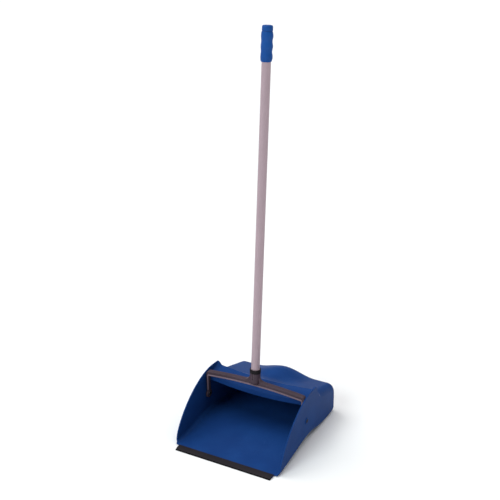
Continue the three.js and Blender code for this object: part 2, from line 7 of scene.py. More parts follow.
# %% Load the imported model
import bmesh
import bpy
import json
import math
from mathutils import Matrix, Vector


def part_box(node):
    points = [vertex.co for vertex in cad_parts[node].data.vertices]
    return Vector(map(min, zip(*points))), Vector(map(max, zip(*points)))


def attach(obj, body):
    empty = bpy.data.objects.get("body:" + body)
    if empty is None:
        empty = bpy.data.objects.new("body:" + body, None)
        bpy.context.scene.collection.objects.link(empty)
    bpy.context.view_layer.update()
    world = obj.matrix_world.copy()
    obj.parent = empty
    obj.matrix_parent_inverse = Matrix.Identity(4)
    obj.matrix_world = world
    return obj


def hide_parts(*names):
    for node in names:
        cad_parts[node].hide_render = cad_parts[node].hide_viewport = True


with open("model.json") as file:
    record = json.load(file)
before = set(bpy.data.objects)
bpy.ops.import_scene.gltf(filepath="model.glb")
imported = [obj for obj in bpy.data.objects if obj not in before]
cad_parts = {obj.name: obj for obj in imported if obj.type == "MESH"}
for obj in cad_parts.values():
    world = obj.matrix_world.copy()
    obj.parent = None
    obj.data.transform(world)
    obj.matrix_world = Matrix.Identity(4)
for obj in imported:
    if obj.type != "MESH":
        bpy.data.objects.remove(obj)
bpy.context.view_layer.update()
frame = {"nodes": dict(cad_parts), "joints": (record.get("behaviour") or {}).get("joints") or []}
nodes = frame["nodes"]

# %% [markdown]
# ## Sizes
# Lengths are in millimetres until a mesh is made, because that is how such a part is drawn. A depth is
# measured back from the lip's front edge, and a height up from the floor. The overall sizes and the pivot are
# read from the model, so they cannot drift from it.

# %% Sizes read from the model, and the pan's own sizes
MM = 0.001
pan_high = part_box("pan_shell")[1] / MM
lip_low, lip_high = (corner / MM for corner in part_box("lip_holder"))
blade_low, blade_high = (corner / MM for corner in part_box("rubber_blade"))
FRONT = blade_low.y  # the lip's front edge, in the row frame
PAN_DEPTH = pan_high.y - FRONT
LIP_DEPTH = lip_high.y - FRONT
PIVOT = Vector(frame["joints"][0]["pos_m"]) / MM
PIVOT_DEPTH = PIVOT.y - FRONT
CLEARANCE = 0.3
WALL = 3.0
HALF_WIDTH = 142.5
MOUTH_FLARE = 6.6
INNER_HALF = HALF_WIDTH - WALL
FLOOR_START = LIP_DEPTH + CLEARANCE
FLOOR_FRONT = 1.5
BELLY_RISE, BELLY_DEPTH = 16.5, 188.0
HEEL_LENGTH, HEEL_CORNER = 34.0, 8.0
FLOOR_EDGE, REAR_EDGE, REAR_CORNER = 12.0, 10.0, 20.0
FRONT_FOOT, FRONT_FOOT_HEIGHT = 28.0, 12.0
CREST_DEPTH, CREST_HEIGHT = 211.0, 140.0
HORN_DEPTH, HORN_TIP, HORN_BACK, HORN_WIDTH = 233.0, 139.0, 11.0, 11.0
RIDGE_HEIGHT, RIDGE_RISE = 119.5, 11.0
HOOD_HEIGHT, REAR_HEIGHT = 114.5, 81.5
HOOD_FOOT = HORN_DEPTH + HORN_BACK
SHOULDER, SHOULDER_FADE = 20.0, 18.0
HUMP_RISE, HUMP_HALF_WIDTH, HUMP_START, HUMP_FULL = 17.0, 88.0, 252.0, 336.0
FLANGE_DROP, GUTTER_DROP = 20.5, 5.0
YOKE_DEPTH, TUBE_RADIUS = 13.0, 11.0
print("pan depth", round(PAN_DEPTH, 1), "pivot at depth", round(PIVOT_DEPTH, 1), "height", round(PIVOT.z, 1))

# %% [markdown]
# ## Camera
# The camera comes first, because it says which details are worth making. It looks down a little from the
# front right, with a lens long enough to keep the handle's taper small.

# %% Camera
AZIMUTH, ELEVATION, ROLL = math.radians(29.03), math.radians(22.96), math.radians(-0.62)
CAMERA_DISTANCE = 2.0877
CAMERA_TARGET = Vector((0.0867, FRONT * MM, 0.5894))
SENSOR, LENS = 36.0, 69.24


def make_camera():
    level = math.cos(ELEVATION)
    back = Vector((math.sin(AZIMUTH) * level, -math.cos(AZIMUTH) * level, math.sin(ELEVATION)))
    right = Vector((math.cos(AZIMUTH), math.sin(AZIMUTH), 0.0))
    up = back.cross(right)
    turn = Matrix((right, up, back)).transposed() @ Matrix.Rotation(ROLL, 3, "Z")
    data = bpy.data.cameras.new("camera")
    data.sensor_width, data.lens = SENSOR, LENS
    camera = bpy.data.objects.new("camera", data)
    camera.matrix_world = Matrix.Translation(CAMERA_TARGET + back * CAMERA_DISTANCE) @ turn.to_4x4()
    bpy.context.scene.collection.objects.link(camera)
    bpy.context.scene.camera = camera


make_camera()
print("camera lens", LENS, "mm at", CAMERA_DISTANCE, "m")

# %% [markdown]
# ## Node expressions
# A material or a geometry rule is mostly arithmetic. This small class wraps an output socket and lets
# Python's own operators add the Math nodes, so it stays readable. One method of the tree adds every other
# node: its settings go first, because they can change which sockets it has.

# %% A socket that can be added and multiplied
class Socket:
    def __init__(self, tree, link):
        self.tree = tree
        self.link = link

    def math(self, operation, *values):
        return self.tree.node("ShaderNodeMath", {"operation": operation}, list(values))

    def __add__(self, other):
        return self.math("ADD", self, other)

    def __sub__(self, other):
        return self.math("SUBTRACT", self, other)

    def __rsub__(self, other):
        return self.math("SUBTRACT", other, self)

    def __mul__(self, other):
        return self.math("MULTIPLY", self, other)

    def __truediv__(self, other):
        return self.math("DIVIDE", self, other)

    def __rtruediv__(self, other):
        return self.math("DIVIDE", other, self)

    __radd__ = __add__
    __rmul__ = __mul__

    def above(self, edge):
        return self.math("GREATER_THAN", self, edge)

    def cosine(self):
        return self.math("COSINE", self)

    def sine(self):
        return self.math("SINE", self)

    def root(self):
        return self.math("SQRT", self)

    def ramp(self, low, high, first=0.0, last=1.0):
        settings = {"interpolation_type": "SMOOTHSTEP"}
        return self.tree.node("ShaderNodeMapRange", settings, [self, low, high, first, last])


# %% A tree that takes nodes as expressions
class Tree:
    def __init__(self, nodes_and_links):
        self.nodes = nodes_and_links.nodes
        self.links = nodes_and_links.links

    def node(self, kind, settings=None, sockets=None, output=0):
        made = self.nodes.new(kind)
        for key, value in (settings or {}).items():
            setattr(made, key, value)
        pairs = enumerate(sockets or []) if not isinstance(sockets, dict) else sockets.items()
        for key, value in pairs:
            if isinstance(value, Socket):
                self.links.new(value.link, made.inputs[key])
            elif value is not None:
                made.inputs[key].default_value = value
        return Socket(self, made.outputs[output])

    def parts(self, vector):
        made = self.nodes.new("ShaderNodeSeparateXYZ")
        self.links.new(vector.link, made.inputs[0])
        return [Socket(self, made.outputs[axis]) for axis in range(3)]

    def mix(self, share, first, second):
        settings = {"data_type": "RGBA"}
        return self.node("ShaderNodeMix", settings, {0: share, 6: first, 7: second}, output=2)


# %% [markdown]
# ## Finishes
# Each finish starts from one Principled BSDF. What varies over a surface, such as a cloudy moulding, hair
# lines or a scuff, feeds its colour, roughness and normal. What is the same all over is set once on the
# shader.

# %% A material with a shader to fill in
class Finish:
    def __init__(self, name, fixed):
        self.material = bpy.data.materials.new(name)
        self.material.use_nodes = True
        self.tree = Tree(self.material.node_tree)
        self.shader = next(n for n in self.tree.nodes if n.type == "BSDF_PRINCIPLED")
        for socket, value in fixed.items():
            self.shader.inputs[socket].default_value = value
        self.place = self.tree.node("ShaderNodeTexCoord", output=3)

    def noise(self, scale, detail=2.0, stretch=(1, 1, 1), turn=(0, 0, 0)):
        mapped = self.tree.node("ShaderNodeMapping", None, {0: self.place, 2: turn, 3: stretch})
        return self.tree.node("ShaderNodeTexNoise", None, {0: mapped, 2: scale, 3: detail})

    def vary(self, **values):
        for socket, value in values.items():
            self.tree.links.new(value.link, self.shader.inputs[socket.replace("_", " ")])

    def relief(self, *layers):
        normal = None
        for height, depth in layers:
            sockets = {"Strength": 1.0, "Distance": depth, "Height": height}
            if normal is not None:
                sockets["Normal"] = normal
            normal = self.tree.node("ShaderNodeBump", None, sockets)
        self.vary(Normal=normal)


def rgb(red, green, blue):
    return (red, green, blue, 1.0)


# %% [markdown]
# The pan, the lip and the yoke are all injection-moulded, so one recipe serves them. A moulding is never one
# flat tone: the pigment clouds a little, the mould leaves a fine orange-peel, and use adds faint scuffs. The
# recipe takes the two tones, and how glossy the mould was.


# %% A recipe for moulded plastic
def moulded_plastic(name, tone, deep, gloss, shine=0.12, grain=0.00003, scuffs=0.25, sweep=(1, 0.12, 1)):
    coat = {"Coat Weight": shine, "Coat Roughness": gloss * 0.7}
    finish = Finish(name, {"IOR": 1.49, "Specular IOR Level": 0.02, **coat})
    tree = finish.tree
    cloud = finish.noise(14.0, 3.0)
    fine = finish.noise(900.0, 2.0)
    peel = finish.noise(170.0, 1.0)
    strokes = finish.noise(330.0, 3.0, stretch=sweep).ramp(0.63, 0.74)
    marks = strokes * finish.noise(22.0, 2.0).ramp(0.48, 0.66)
    body = tree.mix(cloud.ramp(0.3, 0.72), rgb(*deep), rgb(*tone))
    pale = rgb(*(min(1.0, value * 1.5 + 0.02) for value in tone))
    finish.vary(Base_Color=tree.mix(marks * scuffs, body, pale))
    finish.vary(Roughness=gloss + cloud * 0.06 + fine * 0.04 + marks * (scuffs * 0.5))
    finish.relief((peel, 0.00006), (fine, grain))
    return finish.material


pan_plastic = moulded_plastic(
    "pan_blue_plastic", (0.0105, 0.049, 0.192), (0.0085, 0.040, 0.165), 0.34, shine=0.025)
lip_plastic = moulded_plastic(
    "lip_grey_plastic", (0.024, 0.020, 0.024), (0.019, 0.016, 0.020), 0.45, shine=0.03, scuffs=0.4)
yoke_plastic = moulded_plastic(
    "yoke_grey_plastic", (0.072, 0.048, 0.064), (0.056, 0.038, 0.050), 0.36, shine=0.2)
# The bead's paler grey is a painted highlight: it stands for the light line along its round front.
bead_highlight_plastic = moulded_plastic(
    "bead_painted_highlight_plastic", (0.190, 0.135, 0.165), (0.150, 0.105, 0.130), 0.36, shine=0.2)
pin_plastic = moulded_plastic(
    "pin_dark_plastic", (0.016, 0.014, 0.016), (0.012, 0.010, 0.012), 0.40, shine=0.1)
grip_plastic = moulded_plastic(
    "grip_blue_plastic", (0.013, 0.080, 0.310), (0.010, 0.066, 0.265), 0.38, shine=0.14, scuffs=0.15)
plastics = (pan_plastic, lip_plastic, yoke_plastic, bead_highlight_plastic, pin_plastic, grip_plastic)
print("plastics", [m.name for m in plastics])

# %% [markdown]
# The blade at the front is soft rubber. Rubber is matt and slightly bloomed, so its roughness is high and a
# fine noise greys it in patches.

# %% Rubber
rubber_finish = Finish("blade_black_rubber", {"IOR": 1.52, "Specular IOR Level": 0.05})
bloom = rubber_finish.noise(60.0, 4.0)
rubber_finish.vary(
    Base_Color=rubber_finish.tree.mix(
        bloom.ramp(0.35, 0.75), rgb(0.003, 0.003, 0.0035), rgb(0.007, 0.007, 0.008)),
    Roughness=0.62 + bloom * 0.2,
)
rubber_finish.relief((rubber_finish.noise(1400.0, 2.0), 0.00004))
edge_rubber = rubber_finish.material
print("rubber", edge_rubber.name)

# %% [markdown]
# The handle is a drawn aluminium tube. Drawing leaves hair lines along it, which spread its highlight round
# the tube. The lines are a noise pulled out along the tube, so the coordinates are first turned by its lean.
# The tube is anodised, which dulls it, so its Metallic is well under one, and hands leave smudges on it. The
# screw is zinc-plated steel and the clips, from the same recipe, are painted dark: painted shade at the legs'
# feet.

# %% Drawn aluminium, zinc-plated steel and dark steel
RAKE = math.radians(4.8)  # how far the handle leans back


def drawn_metal(name, tone, deep, gloss, along, metallic=1.0):
    finish = Finish(name, {"IOR": 1.45})
    tree = finish.tree
    hair = finish.noise(1500.0, 2.0, stretch=along, turn=(RAKE, 0, 0))
    band = finish.noise(300.0, 2.0, stretch=along, turn=(RAKE, 0, 0))
    smudge = finish.noise(26.0, 3.0)
    finish.vary(
        Base_Color=tree.mix(hair * 0.6 + smudge * 0.4, rgb(*deep), rgb(*tone)),
        Roughness=gloss + band * 0.10 + smudge.ramp(0.45, 0.75) * 0.06,
        Metallic=metallic - smudge * 0.08,
    )
    finish.relief((hair, 0.000025))
    return finish.material


tube_aluminium = drawn_metal(
    "tube_aluminium", (0.50, 0.375, 0.42), (0.34, 0.255, 0.285), 0.40, (1, 1, 0.004), metallic=0.4)
zinc_steel = drawn_metal("zinc_steel", (0.52, 0.53, 0.55), (0.40, 0.41, 0.43), 0.26, (1, 0.3, 1))
# The clips' dark colour is painted shade, for the shade they sit in at the feet of the legs.
clip_shade_steel = drawn_metal("clip_painted_shade_steel", (0.10, 0.10, 0.11), (0.06, 0.06, 0.07), 0.40, (1, 0.3, 1))
print("metals", tube_aluminium.name, zinc_steel.name, clip_shade_steel.name)

# %% [markdown]
# ## Helpers for meshes
# Three shapes of mesh cover this object: a profile turned round an axis, an outline pushed along X, and a
# sheet that gets a wall thickness. They share a fillet, since a moulding has no knife edges, and a function
# that puts a piece on its body.


# %% Small geometry helpers
def smooth(t):
    t = min(1.0, max(0.0, t))
    return t * t * (3 - 2 * t)


def round_off(radius, distance):
    short = max(0.0, radius - distance)
    return radius - math.sqrt(radius * radius - short * short)


def quadratic(a, b, c, steps, first=0):
    points = []
    for k in range(first, steps + 1):
        t = k / steps
        points.append(tuple((1 - t) ** 2 * p + 2 * t * (1 - t) * q + t * t * r for p, q, r in zip(a, b, c)))
    return points


def cubic(a, b, c, d, steps, first=0):
    points = []
    for k in range(first, steps + 1):
        t = k / steps
        s = 1 - t
        weights = (s**3, 3 * s * s * t, 3 * s * t * t, t**3)
        points.append(tuple(sum(w * v for w, v in zip(weights, values)) for values in zip(a, b, c, d)))
    return points


def filleted(points, reach, steps=4, closed=True):
    """Rounds the corners of an outline, starting each rounding `reach` before its corner."""
    out = []
    last = len(points) - 1
    for i, point in enumerate(points):
        here = Vector(point)
        if not closed and i in (0, last):
            out.append(tuple(here))
            continue
        before, after = Vector(points[i - 1]), Vector(points[(i + 1) % len(points)])
        room = min(reach, 0.48 * (before - here).length, 0.48 * (after - here).length)
        start = here + (before - here).normalized() * room
        end = here + (after - here).normalized() * room
        out += quadratic(start, here, end, steps)
    return out


# %% Meshes from points in millimetres, and putting a piece on its body
def mesh_object(name, points, faces):
    mesh = bpy.data.meshes.new(name)
    mesh.from_pydata([Vector(p) * MM for p in points], [], faces)
    mesh.validate()
    obj = bpy.data.objects.new(name, mesh)
    bpy.context.scene.collection.objects.link(obj)
    return obj


def baked(obj):
    """The object with its modifiers worked in, as a plain mesh."""
    graph = bpy.context.evaluated_depsgraph_get()
    seen = obj.evaluated_get(graph)
    mesh = bpy.data.meshes.new_from_object(seen, preserve_all_data_layers=True, depsgraph=graph)
    obj.modifiers.clear()
    obj.data = mesh
    return obj


def joined(name, *objects):
    whole = bmesh.new()
    for obj in objects:
        whole.from_mesh(obj.data)
        bpy.data.objects.remove(obj)
    mesh = bpy.data.meshes.new(name)
    whole.to_mesh(mesh)
    whole.free()
    obj = bpy.data.objects.new(name, mesh)
    bpy.context.scene.collection.objects.link(obj)
    return obj


def settle(obj, body, material, slot, *stands_for, crease=42.0):
    mesh = obj.data
    mesh.materials.clear()
    mesh.materials.append(material)
    for polygon in mesh.polygons:
        polygon.use_smooth = True
        polygon.material_index = 0
    mesh.set_sharp_from_angle(angle=math.radians(crease))
    weighted = obj.modifiers.new("even_shading", "WEIGHTED_NORMAL")
    weighted.keep_sharp = True
    weighted.weight = 60
    baked(obj)
    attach(obj, body)
    if stands_for:
        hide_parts(*stands_for)
    triangles = sum(len(p.vertices) - 2 for p in obj.data.polygons)
    print(f"{obj.name}: {triangles} triangles, {[round(v / MM, 1) for v in obj.dimensions]} mm")
    return obj


# %% A profile turned round an axis
def turned(name, profile, place, segments=72, closed=False):
    """A [radius, height] profile turned round `place`'s Z. A closed profile makes a ring."""
    points, faces, rings = [], [], []
    for radius, height in profile:
        if radius < 1e-6:
            rings.append([len(points)] * segments)
            points.append(place @ Vector((0, 0, height)))
            continue
        rings.append(range(len(points), len(points) + segments))
        for k in range(segments):
            angle = 2 * math.pi * k / segments
            points.append(place @ Vector((radius * math.cos(angle), radius * math.sin(angle), height)))
    pairs = list(zip(rings, rings[1:])) + ([(rings[-1], rings[0])] if closed else [])
    for low, high in pairs:
        for k in range(segments):
            n = (k + 1) % segments
            corners = list(dict.fromkeys((low[k], low[n], high[n], high[k])))
            if len(corners) > 2:
                faces.append(corners)
    return mesh_object(name, points, faces)


def along_x(name, outline, start, end, soft=0.0, segments=3):
    """An outline in (depth, height) pushed along X, with its edges rounded by `soft`."""
    count = len(outline)
    points = [(x, FRONT + depth, height) for x in (start, end) for depth, height in outline]
    faces = [list(range(count))[::-1], list(range(count, 2 * count))]
    faces += [[k, (k + 1) % count, count + (k + 1) % count, count + k] for k in range(count)]
    obj = mesh_object(name, points, faces)
    outwards(obj)
    if soft:
        bevel = obj.modifiers.new("soft_edges", "BEVEL")
        bevel.width, bevel.segments, bevel.limit_method = soft * MM, segments, "ANGLE"
        baked(obj)
    return obj


def outwards(obj):
    mesh = bmesh.new()
    mesh.from_mesh(obj.data)
    bmesh.ops.recalc_face_normals(mesh, faces=mesh.faces)
    mesh.to_mesh(obj.data)
    mesh.free()
    return obj


def cut_away(obj, *tools):
    for tool in tools:
        cut = obj.modifiers.new("cut", "BOOLEAN")
        cut.operation, cut.object, cut.solver = "DIFFERENCE", tool, "EXACT"
        baked(obj)
        bpy.data.objects.remove(tool)
    return obj


print("helpers ready")

# %% [markdown]
# ## The pan
# The pan is one moulding, 3 mm thick all over: an arched floor, a rear wall, a hood with a low hump, and two
# side walls. It is made as a sheet, from a rule that gives its side view at any x, and gets its thickness
# afterwards. The rule: the hood's front ridge climbs to a horn at each wall, and the hump is a cosine across
# the hood.


# %% The rule for the pan's surface
def flare(depth):
    return 1 + MOUTH_FLARE / HALF_WIDTH * (1 - depth / PAN_DEPTH)


def ridge_at(x):
    return RIDGE_HEIGHT + RIDGE_RISE * min(1.0, abs(x) / INNER_HALF) ** 2


def tip_at(x):
    ridge = ridge_at(x)
    return ridge + (HORN_TIP - ridge) * smooth((abs(x) - (INNER_HALF - HORN_WIDTH)) / HORN_WIDTH)


def hump_at(x):
    return HUMP_RISE * math.cos(math.pi * x / (2 * HUMP_HALF_WIDTH)) ** 2 if abs(x) < HUMP_HALF_WIDTH else 0.0


HOOD_SLOPE = (HOOD_HEIGHT - REAR_HEIGHT) / (PAN_DEPTH - HOOD_FOOT)


def hood_z(x, depth):
    side = HALF_WIDTH - abs(x)
    hump = hump_at(x) * smooth((depth - HUMP_START) / (HUMP_FULL - HUMP_START))
    shoulder = round_off(SHOULDER, side) * smooth((depth - HOOD_FOOT) / SHOULDER_FADE)
    return REAR_HEIGHT + HOOD_SLOPE * (PAN_DEPTH - depth) + hump - shoulder


def belly_line():
    """The floor's arch as (depth, height) points, from the foot of the side walls to the heel."""
    reach = (BELLY_DEPTH - FRONT_FOOT) / 2
    heel = PAN_DEPTH - HEEL_LENGTH
    front, crown = (FRONT_FOOT, FLOOR_FRONT), (BELLY_DEPTH, BELLY_RISE)
    rise = cubic(front, (front[0] + reach, front[1] + 3), (crown[0] - 0.6 * reach, crown[1]), crown, 60)
    fall = cubic(crown, (crown[0] + 0.6 * reach, crown[1]), (heel - reach, 0.0), (heel, 0.0), 60, first=1)
    return rise + fall


BELLY = belly_line()


def floor_z(depth):
    if depth <= BELLY[0][0]:
        return BELLY[0][1]
    for (d0, z0), (d1, z1) in zip(BELLY, BELLY[1:]):
        if depth <= d1:
            return z0 + (z1 - z0) * (depth - d0) / (d1 - d0)
    return BELLY[-1][1]


print("floor arch at the middle", round(floor_z(BELLY_DEPTH), 1), "hood slope", round(HOOD_SLOPE, 3))

# %% [markdown]
# One side view runs along the floor, up the rear wall, forward over the hood, up the steep back of the ridge
# and over its tip. Between the walls it carries on into a hollow gutter and down a flange, which the handle's
# crossbar rests against. Every column has the same number of points, so neighbours can be joined.

# %% One side view of the sheet
RIM = 0.9  # how far the rounded rim stands past the sheet's edge
FLANGE_FRONT = PIVOT_DEPTH + YOKE_DEPTH / 2 + 2 * CLEARANCE
FLOOR_STEPS, HOOD_STEPS, GUTTER_STEPS = 40, 26, 14


def floor_start(height):
    """Depth at which the floor's skin starts, where it is curled up to this height at the side."""
    t = min(1.0, math.sqrt(max(0.0, height - FLOOR_FRONT - WALL) / (FRONT_FOOT_HEIGHT - FLOOR_FRONT - WALL)))
    return (1 - t) ** 2 * FLOOR_START + 2 * t * (1 - t) * (FRONT_FOOT - 1) + t * t * FRONT_FOOT


def up_to_tip(x):
    side = HALF_WIDTH - abs(x)
    lift = round_off(FLOOR_EDGE, side)
    back = PAN_DEPTH - round_off(REAR_EDGE, side)
    start, heel = floor_start(FLOOR_FRONT + lift) + RIM, PAN_DEPTH - HEEL_LENGTH
    column = []
    for k in range(FLOOR_STEPS + 1):
        depth = start + (heel - start) * k / FLOOR_STEPS
        column.append((depth, floor_z(depth) + lift))
    middle = (back - HEEL_CORNER - heel) / 2
    column.append((heel + middle, lift))
    for k in range(7):
        angle = math.pi / 2 * k / 6
        reach = HEEL_CORNER * math.sin(angle), HEEL_CORNER * (1 - math.cos(angle))
        column.append((back - HEEL_CORNER + reach[0], lift + reach[1]))
    lean = math.atan(HOOD_SLOPE)
    corner = hood_z(x, back) + REAR_CORNER * (math.tan(lean) - 1 / math.cos(lean))
    foot = lift + HEEL_CORNER
    column += [(back, foot + (corner - foot) * k / 5) for k in range(1, 5)]
    for k in range(11):
        angle = (math.pi / 2 - lean) * k / 10
        column.append((back - REAR_CORNER * (1 - math.cos(angle)), corner + REAR_CORNER * math.sin(angle)))
    end_depth, end_height = column[-1]
    miss = end_height - hood_z(x, end_depth)
    hood_end = HOOD_FOOT + 3.0
    for k in range(1, HOOD_STEPS + 1):
        share = k / HOOD_STEPS
        depth = end_depth + (hood_end - end_depth) * share
        column.append((depth, hood_z(x, depth) + miss * (1 - smooth(share * 4))))
    base, tip = (HOOD_FOOT, hood_z(x, HOOD_FOOT)), (HORN_DEPTH, tip_at(x))
    steep = Vector(tip) - Vector(base)
    step = steep.normalized() * min(3.0, 0.4 * steep.length)
    column += quadratic(column[-1], base, tuple(Vector(base) + step), 5, first=1)
    column.append(tuple(Vector(base) + steep / 2))
    return column, tuple(Vector(tip) - step * 0.6), tip


def past_tip(x, before, tip):
    """Over the tip, down the gutter and down the flange."""
    top = ridge_at(x) - GUTTER_DROP
    sag = ((FLANGE_FRONT + WALL + HORN_DEPTH) / 2 + WALL, top - WALL)
    gutter = quadratic(tip, sag, (FLANGE_FRONT + WALL, top), GUTTER_STEPS)
    over = quadratic(before, tip, gutter[1], 4)
    edge = quadratic(gutter[-1], (FLANGE_FRONT, top), (FLANGE_FRONT, top - WALL), 4, first=1)
    bottom = ridge_at(x) - FLANGE_DROP + RIM
    flange = [(FLANGE_FRONT, top - WALL + (bottom - top + WALL) * k / 5) for k in range(1, 6)]
    return over[:3], over[3:] + gutter[2:] + edge + flange


def stations():
    """Columns across the pan: by equal angles round the shoulders, closer where the horns rise."""
    inward = {round(SHOULDER * (1 - math.cos(math.radians(a))), 3) for a in range(0, 91, 6)}
    inward |= {WALL - 0.6} | {3.4 + 1.2 * k for k in range(11)}
    inward |= {SHOULDER + (HALF_WIDTH - SHOULDER) * k / 36 for k in range(1, 36)}
    right = sorted(HALF_WIDTH - d for d in inward)
    return [-x for x in reversed(right)] + [0.0] + right


print("columns across the pan", len(stations()), "flange front at depth", round(FLANGE_FRONT, 2))

# %% [markdown]
# The side walls are flat, so each is a single face whose outline is the sheet's last column and the wall's
# own front edge: up from a low foot in one long curve to a crest, then level to the horn.


# %% The sheet as vertices and faces
def wall_edge():
    """The free edge of a side wall, from the horn to the foot, drawn in by the rim."""
    crest = (CREST_DEPTH, CREST_HEIGHT)
    foot = (FRONT_FOOT, FRONT_FOOT_HEIGHT)
    curve = cubic(crest, (crest[0] - 91, crest[1] + 7), (foot[0] + 3, foot[1] + 40), foot, 60)
    level = [(HORN_DEPTH - back, HORN_TIP + rise) for back, rise in ((3, 0.1), (9, 0.4), (15, 0.7))]
    edge = level + curve[:-2]
    drawn = []
    for i, (depth, height) in enumerate(edge):
        ahead, behind = edge[min(i + 1, len(edge) - 1)], edge[max(i - 1, 0)]
        along = (Vector(ahead) - Vector(behind)).normalized()
        drawn.append((depth - along.y * RIM, height + along.x * RIM))
    return drawn


def pan_sheet():
    xs = stations()
    points, columns = [], []
    for x in xs:
        column, before, tip = up_to_tip(x)
        near, beyond = past_tip(x, before, tip)
        column += near
        if abs(x) <= INNER_HALF + 0.7:
            column += beyond
        columns.append(range(len(points), len(points) + len(column)))
        points += [(x * flare(d), FRONT + d, z) for d, z in column]
    faces = []
    for first, second in zip(columns, columns[1:]):
        for k in range(min(len(first), len(second)) - 1):
            faces.append([first[k], first[k + 1], second[k + 1], second[k]])
    edge = wall_edge()
    for column, x in ((columns[-1], HALF_WIDTH), (columns[0], -HALF_WIDTH)):
        extra = range(len(points), len(points) + len(edge))
        points += [(x * flare(d), FRONT + d, z) for d, z in edge]
        outline = list(column) + list(extra)
        faces.append(outline if x > 0 else outline[::-1])
    return points, faces


# %% [markdown]
# A wall is every point moved in along its own normal, and further at a corner, or it would thin there;
# Blender calls that the shell factor. The open edges then get a half-round rim, since a moulded edge is never
# square.


# %% Give the sheet its wall and its rim
def walled(name, points, faces, wall, rim, steps=5):
    sheet = bmesh.new()
    vertices = [sheet.verts.new(Vector(p)) for p in points]
    for face in faces:
        sheet.faces.new([vertices[i] for i in face])
    sheet.normal_update()
    sheet.verts.index_update()
    outer = [v.co.copy() for v in sheet.verts]
    inner = [v.co - v.normal * wall * min(v.calc_shell_factor(), 1.6) for v in sheet.verts]
    count = len(outer)
    shell_faces = [[v.index for v in face.verts] for face in sheet.faces]
    shell_faces += [[v.index + count for v in reversed(face.verts)] for face in sheet.faces]
    outward = {}
    open_loops = [edge.link_loops[0] for edge in sheet.edges if len(edge.link_loops) == 1]
    for loop in open_loops:
        along = (loop.link_loop_next.vert.co - loop.vert.co).normalized()
        push = along.cross(loop.face.normal).normalized()
        for vertex in (loop.vert, loop.link_loop_next.vert):
            outward.setdefault(vertex.index, []).append(push)
    everything = outer + inner
    rings = {}
    for index, pushes in outward.items():
        push = sum(pushes, Vector()).normalized()
        middle = (outer[index] + inner[index]) / 2
        half = outer[index] - middle
        rings[index] = [index]
        for k in range(1, steps):
            angle = math.pi * k / steps
            rings[index].append(len(everything))
            everything.append(middle + half * math.cos(angle) + push * rim * math.sin(angle))
        rings[index].append(index + count)
    for loop in open_loops:
        a, b = rings[loop.vert.index], rings[loop.link_loop_next.vert.index]
        shell_faces += [[b[k], a[k], a[k + 1], b[k + 1]] for k in range(steps)]
    sheet.free()
    return mesh_object(name, everything, shell_faces)


shell = walled("shell", *pan_sheet(), WALL, RIM)
print("shell", len(shell.data.vertices), "vertices")

# %% [markdown]
# Three details finish the moulding: a hole for the pin in each wall, a round boss outside it, with a recess
# for the pin's head, and the thin tongue at the floor's front that the lip is pushed on to.

# %% Pivot bosses and tongue
BOSS_DIAMETER, BOSS_HEIGHT = 18.0, 1.8
PIN_DIAMETER, PIN_HEAD, RUNNING_GAP = 7.0, 10.0, 0.35
PIN_HOLE = PIN_DIAMETER + 2 * RUNNING_GAP
TONGUE_START, TONGUE_BOTTOM, TONGUE_TOP = 9.0, 2.2, 3.8
WALL_OUTSIDE = HALF_WIDTH * flare(PIVOT_DEPTH)
WALL_INSIDE = INNER_HALF * flare(PIVOT_DEPTH)


def on_pivot(side, out):
    """A frame on the pivot's line, its Z pointing out of the pan on that side, `out` from the middle."""
    turn = Matrix.Rotation(math.pi / 2 * side, 4, "Y")
    return Matrix.Translation((side * out, PIVOT.y, PIVOT.z)) @ turn


def drill(side):
    past = 2.0  # the drill's reach beyond each face of the wall
    outline = [(0, -WALL - past), (PIN_HOLE / 2, -WALL - past), (PIN_HOLE / 2, past), (0, past)]
    return outwards(turned(f"drill_{side}", outline, on_pivot(side, WALL_OUTSIDE), 64))


def boss(side):
    radius, bore = BOSS_DIAMETER / 2, PIN_HEAD / 2 + RUNNING_GAP
    hole = PIN_HOLE / 2
    outline = [
        (hole, -0.6), (radius + 1.0, -0.6), (radius + 0.9, 0.0), (radius + 0.25, 0.25), (radius, 0.9),
        (radius - 0.15, BOSS_HEIGHT - 0.5), (radius - 0.6, BOSS_HEIGHT), (bore + 0.4, BOSS_HEIGHT),
        (bore, BOSS_HEIGHT - 0.4), (bore, 0.15), (hole, 0.15),
    ]
    return turned(f"boss_{side}", outline, on_pivot(side, WALL_OUTSIDE), 64, closed=True)


tongue_outline = [(TONGUE_START, TONGUE_BOTTOM), (FRONT_FOOT, TONGUE_BOTTOM)]
tongue_outline += [(FRONT_FOOT, TONGUE_TOP), (TONGUE_START, TONGUE_TOP)]
tongue = along_x("tongue", tongue_outline, lip_low.x, lip_high.x, 0.2, 2)
cut_away(shell, drill(1), drill(-1))
pan = joined("pan_moulding", shell, tongue, outwards(boss(1)), outwards(boss(-1)))
settle(pan, "pan", pan_plastic, "pan_plastic", "pan_shell", crease=50)

# %% [markdown]
# ## The lip
# A stiff grey holder is pushed on to the tongue and grips a strip of black rubber, which follows the ground.
# Each is its end outline pushed across the pan, with softened edges.

